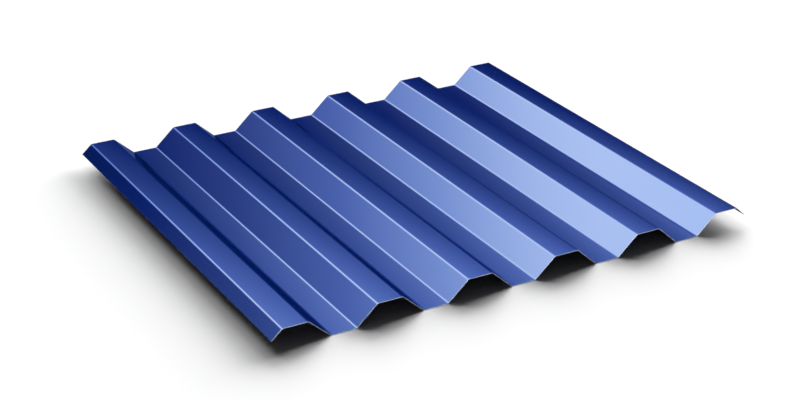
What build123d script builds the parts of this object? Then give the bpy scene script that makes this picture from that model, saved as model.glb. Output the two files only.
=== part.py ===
from build123d import *
import os

# A trapezoidal sheet for roofs and walls, roll-formed from one strip of coated steel.
# X runs across the ribs, Y along them, and Z up from the underside of the pans.
# The ribs' flat tops are the crests, the flats between them the pans, and the slopes the webs.

# Driving dimensions, in millimetres
sheet_length = 980.0  # along the ribs
strip_thickness = 0.8  # steel with its zinc and its coats of paint
rib_count = 6
rib_pitch = 200.0  # from one rib to the next
rib_height = 42.0  # from the underside of a pan to the top of a crest
crest_width = 54.0  # between the sharp corners of the underside
pan_width = 55.0  # between the sharp corners of the underside
edge_flange_drop = 20.5  # how far the two outer webs come down before they are cut off
bend_radius = 6.5  # inside of every bend

# Sizes that follow from them
crest_level = rib_height - strip_thickness  # height of a crest's underside
web_run = (rib_pitch - crest_width - pan_width) / 2
flange_run = web_run * edge_flange_drop / crest_level
ribs_width = (rib_count - 1) * rib_pitch + crest_width
flange_tip_level = crest_level - edge_flange_drop


def underside_corners():
    """Sharp corners of the underside from flange tip to flange tip, and the radius of each bend."""
    first_crest = -ribs_width / 2
    corners = [(first_crest - flange_run, flange_tip_level)]
    radii = []
    for rib in range(rib_count):
        crest_start = first_crest + rib * rib_pitch
        crest_end = crest_start + crest_width
        if rib > 0:
            pan_end = crest_start - web_run
            corners += [(pan_end - pan_width, 0), (pan_end, 0)]
            radii += [bend_radius + strip_thickness] * 2
        corners += [(crest_start, crest_level), (crest_end, crest_level)]
        radii += [bend_radius] * 2
    corners.append((-first_crest + flange_run, flange_tip_level))
    return corners, radii


def profiled_sheet():
    """The rounded underside line, thickened upwards to the strip's gauge and drawn out along the ribs."""
    corners, radii = underside_corners()
    with BuildPart() as sheet:
        with BuildSketch(Plane.XZ):
            with BuildLine():
                FilletPolyline(*corners, radius=radii)
                offset(amount=strip_thickness, side=Side.LEFT)
            make_face()
        extrude(amount=sheet_length / 2, both=True)
    return sheet.part


os.makedirs("parts", exist_ok=True)
export_step(profiled_sheet(), "parts/profiled_sheet.step")
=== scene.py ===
import math
import bpy
import numpy as np
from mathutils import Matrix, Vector


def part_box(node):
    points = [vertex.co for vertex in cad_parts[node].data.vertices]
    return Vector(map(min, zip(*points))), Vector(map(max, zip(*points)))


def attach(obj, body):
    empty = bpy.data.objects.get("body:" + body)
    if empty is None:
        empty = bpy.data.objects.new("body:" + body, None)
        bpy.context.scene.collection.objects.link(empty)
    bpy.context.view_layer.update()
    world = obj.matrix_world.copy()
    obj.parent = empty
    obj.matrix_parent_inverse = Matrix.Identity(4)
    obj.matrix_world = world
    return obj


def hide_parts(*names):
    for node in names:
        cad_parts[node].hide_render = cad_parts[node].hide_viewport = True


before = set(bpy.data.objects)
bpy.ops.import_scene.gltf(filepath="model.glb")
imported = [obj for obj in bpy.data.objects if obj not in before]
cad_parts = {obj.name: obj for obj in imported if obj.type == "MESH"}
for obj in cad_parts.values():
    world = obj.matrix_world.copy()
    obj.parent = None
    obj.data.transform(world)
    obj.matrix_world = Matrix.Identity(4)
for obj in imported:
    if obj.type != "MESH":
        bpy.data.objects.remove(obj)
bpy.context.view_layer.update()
sheetLow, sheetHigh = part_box("profiled_sheet")
print("frame loaded, sheet size in metres", [round(v, 4) for v in sheetHigh - sheetLow])


# A socket of a node tree. Arithmetic on it adds Math nodes, so a mask reads as a formula.
class Wire:
    def __init__(self, bench, socket):
        self.bench = bench
        self.socket = socket

    def maths(self, operation, first, second):
        return self.bench.add("ShaderNodeMath", {"operation": operation}, {0: first, 1: second})

    def __add__(self, other):
        return self.maths("ADD", self, other)

    def __radd__(self, other):
        return self.maths("ADD", other, self)

    def __sub__(self, other):
        return self.maths("SUBTRACT", self, other)

    def __rsub__(self, other):
        return self.maths("SUBTRACT", other, self)

    def __mul__(self, other):
        return self.maths("MULTIPLY", self, other)

    def __rmul__(self, other):
        return self.maths("MULTIPLY", other, self)


# The node tree of one material or of the world, emptied, with one way to add any node.
class Bench:
    def __init__(self, owner):
        owner.use_nodes = True
        self.tree = owner.node_tree
        self.tree.nodes.clear()

    # settings go in first, then the sockets' values or wires; the wire of one output comes back
    def add(self, kind, settings=None, sockets=None, output=0):
        made = self.tree.nodes.new(kind)
        for name, value in (settings or {}).items():
            if name == "stops":
                self.setStops(made.color_ramp, value)
            else:
                setattr(made, name, value)
        for name, value in (sockets or {}).items():
            if isinstance(value, Wire):
                self.tree.links.new(value.socket, made.inputs[name])
            else:
                made.inputs[name].default_value = value
        return Wire(self, made.outputs[output]) if made.outputs else None

    def setStops(self, ramp, stops):
        while len(ramp.elements) < len(stops):
            ramp.elements.new(1.0)
        for element, (position, colour) in zip(ramp.elements, stops):
            element.position = position
            element.color = colour

    # noise of the object's own place, stretched by scales along X, Y and Z
    def noise(self, scales, detail=2.0):
        place = self.add("ShaderNodeTexCoord", output="Object")
        stretched = self.add("ShaderNodeMapping", None, {"Vector": place, "Scale": scales})
        return self.add("ShaderNodeTexNoise", None, {"Vector": stretched, "Scale": 1.0, "Detail": detail})

    # a colour between two, by a factor
    def blend(self, factor, first, second):
        return self.mixed("MIX", factor, first, second)

    # the first colour times the second, as far as a factor says
    def tint(self, factor, first, second):
        return self.mixed("MULTIPLY", factor, first, second)

    # sockets 6 and 7 are the Mix node's two colours, and output 2 is its mixed colour
    def mixed(self, way, factor, first, second):
        settings = {"data_type": "RGBA", "blend_type": way}
        return self.add("ShaderNodeMix", settings, {0: factor, 6: first, 7: second}, 2)


coatLook = dict(
    deepBlue=(0.004, 0.036, 0.260, 1),
    paleBlue=(0.004, 0.039, 0.280, 1),
    flake=0.70,  # share of the coat that shines as blue metal
    flakeEdge=(0.15, 0.30, 1.00, 1),  # its tint where it is seen at a slant
    roughness=0.16,
    streak=0.01,  # how much the rollers' streaks change the roughness
    underGloss=0.2,  # gloss of the paint itself, between its flakes
    gloss=0.05,  # roughness of the clear top layer
    glossIndex=1.8,
    cloudScale=(2.5, 1.2, 2.5),
    streakScale=(260, 1.5, 260),  # fine across the ribs and long along them
)


# weather side: deep blue flake paint under a clear gloss, with faint rollers' streaks
def weatherCoat():
    look = coatLook
    made = bpy.data.materials.new("weatherCoat")
    bench = Bench(made)
    cloud = bench.noise(look["cloudScale"])
    streak = bench.noise(look["streakScale"])
    colour = bench.blend(cloud, look["deepBlue"], look["paleBlue"])
    roughness = look["roughness"] + (streak - 0.5) * look["streak"]
    shader = bench.add("ShaderNodeBsdfPrincipled", None, {
        "Base Color": colour,
        "Metallic": look["flake"],
        "Roughness": roughness,
        "Specular IOR Level": look["underGloss"],
        "Specular Tint": look["flakeEdge"],
        "Coat Weight": 1.0,
        "Coat Roughness": look["gloss"],
        "Coat IOR": look["glossIndex"],
    })
    bench.add("ShaderNodeOutputMaterial", None, {"Surface": shader})
    return made


backLook = dict(
    # painted shade: both colours are kept almost black so the underside reads as shade in the rib openings
    blue=(0.006, 0.010, 0.032, 1),
    wornAndShaded=(0.010, 0.015, 0.042, 1),
    roughness=0.55,
    streak=0.1,
    sheen=0.2,
    cloudScale=(6, 2, 6),
    streakScale=(180, 1.5, 180),
)


# underside: a thin, flat backing coat whose almost black colour is painted shade, so the rib openings stay
# dark
def backCoat():
    look = backLook
    made = bpy.data.materials.new("backCoat")
    bench = Bench(made)
    cloud = bench.noise(look["cloudScale"])
    streak = bench.noise(look["streakScale"])
    shader = bench.add("ShaderNodeBsdfPrincipled", None, {
        "Base Color": bench.blend(cloud, look["blue"], look["wornAndShaded"]),
        "Roughness": look["roughness"] + (streak - 0.5) * look["streak"],
        "Specular IOR Level": look["sheen"],
    })
    bench.add("ShaderNodeOutputMaterial", None, {"Surface": shader})
    return made


cutLook = dict(
    zinc=(0.86, 0.87, 0.89, 1),
    steel=(0.66, 0.66, 0.68, 1),
    metal=0.9,
    roughness=0.40,
    uneven=0.2,  # how much the grain changes the roughness
    grainScale=(900, 900, 900),
)


# sheared edge: bare steel between two films of zinc
def cutSteel():
    look = cutLook
    made = bpy.data.materials.new("cutSteel")
    bench = Bench(made)
    grain = bench.noise(look["grainScale"])
    shader = bench.add("ShaderNodeBsdfPrincipled", None, {
        "Base Color": bench.blend(grain, look["steel"], look["zinc"]),
        "Metallic": look["metal"],
        "Roughness": look["roughness"] + (grain - 0.5) * look["uneven"],
    })
    bench.add("ShaderNodeOutputMaterial", None, {"Surface": shader})
    return made


sheet = dict(
    ribs=6,
    pitch=0.200,
    crest=0.054,  # flat top, between the underside's sharp corners
    pan=0.055,  # flat between two ribs
    gauge=0.0008,
    flangeDrop=0.0205,
    bendRadius=0.0065,  # inside
    bendSteps=10,
    webShares=(0.03, 0.47, 0.47, 0.03),  # short steps beside the bends keep a web's shading flat
    crownShares=(1.0,),  # one step lets the shading of a crest or a pan swell a little, as if rolled
    rowsAlong=48,
    burr=0.00015,  # the cut edges are broken by this much, and bare there
    endRow=0.002,  # a row of faces this long stands at each end
    sharpAngle=30,  # degrees; steeper edges aren't shaded smooth
)


# The section's middle line from the left flange's tip to the right one's. Each step has a length and a turn,
# and adding the steps up along their headings gives the points. A bend's steps are the chords of its arc.
def sectionLine(s):
    level = sheetHigh.z - sheetLow.z - s["gauge"]
    run = (s["pitch"] - s["crest"] - s["pan"]) / 2
    slope = math.atan2(level, run)
    radius = s["bendRadius"] + s["gauge"] / 2
    tangent = radius * math.tan(slope / 2)
    grow = s["gauge"] / 2 * math.tan(slope / 2)

    def flat(length, shares):
        return np.vstack([length * np.array(shares), 0 * np.array(shares)])

    def bend(way):
        turn = slope / s["bendSteps"]
        return np.tile([[2 * radius * math.sin(turn / 2)], [way * turn]], s["bendSteps"])

    web = flat(math.hypot(level, run) - 2 * tangent, s["webShares"])
    crest = np.hstack([bend(-1), flat(s["crest"] + 2 * grow - 2 * tangent, s["crownShares"]), bend(-1)])
    pan = np.hstack([bend(1), flat(s["pan"] - 2 * grow - 2 * tangent, s["crownShares"]), bend(1)])
    flange = flat(s["flangeDrop"] / math.sin(slope) + grow - tangent - s["burr"], s["webShares"])
    burr = np.array([[s["burr"]], [0]])
    rest = np.tile(np.hstack([web, pan, web, crest]), s["ribs"] - 1)
    length, turn = np.hstack([burr, flange, crest, rest, flange, burr])
    heading = slope + np.append(0, np.cumsum(turn))
    middle = heading[1:] - turn / 2
    x = np.append(0, np.cumsum(length * np.cos(middle)))
    z = np.append(0, np.cumsum(length * np.sin(middle)))
    x += (sheetLow.x + sheetHigh.x) / 2 - (x[0] + x[-1]) / 2
    z += sheetLow.z + s["gauge"] / 2 - z.min()
    return x, z, heading


# Quads between neighbouring points of a grid of vertex numbers. They face the way of the grid's first axis
# times its second.
def quads(numbers):
    corners = numbers[:-1, :-1], numbers[1:, :-1], numbers[1:, 1:], numbers[:-1, 1:]
    return np.stack(corners, axis=-1).reshape(-1, 4)


# The strip: its middle line carried along Y, and each point moved out along the line's normal by half the
# gauge to the weather side, and as far the other way to the underside. The rim joins the two.
def makeSheet():
    s = sheet
    x, z, heading = sectionLine(s)
    ends = np.array([sheetLow.y, sheetHigh.y])
    inset = np.array([0, s["burr"], s["endRow"]])
    y = np.linspace(ends[0] + s["endRow"], ends[1] - s["endRow"], s["rowsAlong"])[1:-1]
    y = np.hstack([ends[0] + inset, y, (ends[1] - inset)[::-1]])
    half = np.full((len(x), len(y)), s["gauge"] / 2)
    half[[0, -1], :] -= s["burr"]
    half[:, [0, -1]] = s["gauge"] / 2 - s["burr"]
    line = np.stack(np.broadcast_arrays(x[:, None], y[None, :], z[:, None]), axis=-1)
    across, up = -np.sin(heading)[:, None], np.cos(heading)[:, None]
    normal = np.stack(np.broadcast_arrays(across, 0 * y, up), axis=-1)
    top = line + normal * half[..., None]
    under = line - normal * half[..., None]
    count = len(x) * len(y)
    topNumbers = np.arange(count).reshape(len(x), len(y))
    underNumbers = topNumbers + count

    def rim(edgeOf):
        return quads(np.stack([edgeOf(underNumbers), edgeOf(topNumbers)], axis=1))

    skins = [quads(topNumbers), quads(underNumbers)[:, ::-1]]
    rims = [
        rim(lambda n: n[:, 0]),
        rim(lambda n: n[::-1, -1]),
        rim(lambda n: n[0, ::-1]),
        rim(lambda n: n[-1, :]),
    ]
    faces = np.vstack(skins + rims)
    bare = np.ones((len(x) - 1, len(y) - 1), bool)
    bare[1:-1, 1:-1] = False
    finishes = [
        np.where(bare, 2, 0).ravel(),
        np.where(bare, 2, 1).ravel(),
        np.full(sum(map(len, rims)), 2),
    ]
    mesh = bpy.data.meshes.new("sheetSkin")
    mesh.from_pydata(np.vstack([top.reshape(-1, 3), under.reshape(-1, 3)]), [], faces)
    for finish in (weatherCoat(), backCoat(), cutSteel()):
        mesh.materials.append(finish)
    mesh.polygons.foreach_set("material_index", np.hstack(finishes).astype(np.int32))
    mesh.polygons.foreach_set("use_smooth", np.ones(len(faces), bool))
    mesh.set_sharp_from_angle(angle=math.radians(s["sharpAngle"]))
    mesh.update()
    piece = bpy.data.objects.new("sheetSkin", mesh)
    bpy.context.scene.collection.objects.link(piece)
    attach(piece, "root")
    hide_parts("profiled_sheet")
    print("sheet made,", len(faces), "faces")
    return piece


studio = dict(
    floorReach=60.0,
    floorGap=0.0002,  # keeps the floor from flickering through the pans
    floorWhite=(1, 1, 1, 1),
    floorFar=(0.04, 0.07, 0.20, 1),  # reflections see the floor behind and to the right as this
    # azimuth from +Y towards +X and elevation in degrees, strength, and the lamp's width as an angle
    lamps=dict(
        right=(71.0, 18.0, 3.0, 25.0),
        back=(42.0, 12.5, 6.4, 40.0),
        high=(12.0, 30.0, 1.65, 50.0),
    ),
    dome=0.03,
    # what reflections see to the left and to the right: elevation in degrees, colour as a share of the level
    softbox=dict(
        left=(
            (17.0, (0.00, 0.00, 0.00)),
            (21.0, (0.004, 0.013, 0.07)),
            (24.0, (0.044, 0.068, 0.135)),
            (27.0, (0.125, 0.178, 0.29)),
            (30.0, (0.35, 0.45, 0.48)),
            (33.0, (0.74, 0.825, 0.665)),
            (35.0, (0.88, 0.965, 0.715)),
            (45.0, (0.88, 0.965, 0.715)),
            (70.0, (0.71, 0.77, 0.64)),
        ),
        right=(
            (19.5, (0.00, 0.00, 0.00)),
            (22.0, (0.003, 0.006, 0.033)),
            (24.0, (0.019, 0.035, 0.065)),
            (26.0, (0.046, 0.077, 0.135)),
            (28.0, (0.093, 0.148, 0.24)),
            (30.0, (0.158, 0.242, 0.337)),
        ),
    ),
    softboxSag=0.07,  # how much lower it hangs to the sides
    softboxPlumb=0.4,  # how far to the side its heights are as given, as a share of the view round
    softboxSplit=0.25,  # its left half fades into its right one from the middle to here
    softboxLevel=4.5,
    softboxTwice=(0.065, 0.125, 0.32, 1),  # what is left of it after a second reflection in the blue coat
)


# One large white square just under the sheet. To reflections it is dark past the sheet's far and right edges.
def makeFloor():
    reach = studio["floorReach"]
    mesh = bpy.data.meshes.new("floor")
    corners = [(-reach, -reach, 0), (reach, -reach, 0), (reach, reach, 0), (-reach, reach, 0)]
    mesh.from_pydata(corners, [], [(0, 1, 2, 3)])
    floor = bpy.data.objects.new("floor", mesh)
    floor.location.z = sheetLow.z - studio["floorGap"]
    bpy.context.scene.collection.objects.link(floor)
    white = bpy.data.materials.new("floorWhite")
    bench = Bench(white)
    place = bench.add("ShaderNodeTexCoord", output="Object")
    x = bench.add("ShaderNodeSeparateXYZ", None, {"Vector": place}, "X")
    y = bench.add("ShaderNodeSeparateXYZ", None, {"Vector": place}, "Y")
    past = {0: x - sheetHigh.x, 1: y - sheetHigh.y}
    outward = bench.add("ShaderNodeMath", {"operation": "MAXIMUM"}, past)
    far = bench.add("ShaderNodeMath", {"operation": "GREATER_THAN"}, {0: outward, 1: 0.0})
    mirrored = bench.add("ShaderNodeLightPath", output="Is Glossy Ray")
    colour = bench.blend(far * mirrored, studio["floorWhite"], studio["floorFar"])
    shader = bench.add("ShaderNodeBsdfDiffuse", None, {"Color": colour})
    bench.add("ShaderNodeOutputMaterial", None, {"Surface": shader})
    mesh.materials.append(white)
    print("floor laid")


# the direction towards an azimuth from +Y towards +X and an elevation, both in degrees
def fromSky(azimuth, elevation):
    a, e = math.radians(azimuth), math.radians(elevation)
    return Vector((math.sin(a) * math.cos(e), math.cos(a) * math.cos(e), math.sin(e)))


# Two broad low lamps and a higher one, behind the sheet and to its right, throw its shadow forward and to the
# left. The world shows white to the camera. To reflections it is a softbox overhead that fades to a dark room
# near the floor, and it fills in the rest evenly.
def makeLight():
    s = studio
    for name, (azimuth, elevation, strength, width) in s["lamps"].items():
        lamp = bpy.data.lights.new(name, "SUN")
        lamp.energy = strength
        lamp.angle = math.radians(width)
        lampObject = bpy.data.objects.new(name, lamp)
        lampObject.rotation_mode = "QUATERNION"
        lampObject.rotation_quaternion = fromSky(azimuth, elevation).to_track_quat("Z", "Y")
        lampObject.visible_glossy = False
        bpy.context.scene.collection.objects.link(lampObject)

    world = bpy.data.worlds.new("studio")
    bpy.context.scene.world = world
    world.cycles.sampling_method = "NONE"
    bench = Bench(world)
    direction = bench.add("ShaderNodeTexCoord", output="Generated")
    x = bench.add("ShaderNodeSeparateXYZ", None, {"Vector": direction}, "X")
    z = bench.add("ShaderNodeSeparateXYZ", None, {"Vector": direction}, "Z")
    stops = {
        side: [(math.sin(math.radians(e)), (*colour, 1)) for e, colour in ramp]
        for side, ramp in s["softbox"].items()
    }
    aside = bench.add("ShaderNodeMath", {"operation": "ABSOLUTE"}, {0: x})
    height = z + (aside - s["softboxPlumb"]) * s["softboxSag"]
    left = bench.add("ShaderNodeValToRGB", {"stops": stops["left"]}, {"Fac": height})
    right = bench.add("ShaderNodeValToRGB", {"stops": stops["right"]}, {"Fac": height})
    halves = {"Value": x, "From Min": 0.0, "From Max": s["softboxSplit"]}
    side = bench.add("ShaderNodeMapRange", None, halves)
    bounces = bench.add("ShaderNodeLightPath", output="Glossy Depth")
    twice = bench.add("ShaderNodeMath", {"operation": "GREATER_THAN"}, {0: bounces, 1: 1.5})
    softbox = bench.tint(twice, bench.blend(side, left, right), s["softboxTwice"])
    camera = bench.add("ShaderNodeLightPath", output="Is Camera Ray")
    through = bench.add("ShaderNodeLightPath", output="Is Transmission Ray")
    mirrored = bench.add("ShaderNodeLightPath", output="Is Glossy Ray")
    plain = camera + through + (1 - camera - through - mirrored) * s["dome"]
    even = bench.add("ShaderNodeBackground", None, {"Color": (1, 1, 1, 1), "Strength": plain})
    level = mirrored * s["softboxLevel"]
    shown = bench.add("ShaderNodeBackground", None, {"Color": softbox, "Strength": level})
    both = bench.add("ShaderNodeAddShader", None, {0: even, 1: shown})
    bench.add("ShaderNodeOutputWorld", None, {"Surface": both})
    print("studio lit")


cameraView = dict(
    azimuth=-29.36,  # 0 looks along +Y
    elevation=25.08,
    distance=3.983,
    aim=(-0.0109, -0.0124, -0.011),
    lens=82.38,
)


def makeCamera():
    v = cameraView
    lens = bpy.data.cameras.new("camera")
    lens.lens = v["lens"]
    eye = bpy.data.objects.new("camera", lens)
    back = fromSky(180 - v["azimuth"], v["elevation"])
    eye.location = Vector(v["aim"]) + back * v["distance"]
    eye.rotation_mode = "QUATERNION"
    eye.rotation_quaternion = back.to_track_quat("Z", "Y")
    bpy.context.scene.collection.objects.link(eye)
    bpy.context.scene.camera = eye
    print("camera placed")


makeSheet()
makeFloor()
makeLight()
makeCamera()
bpy.context.scene.view_settings.view_transform = "Standard"
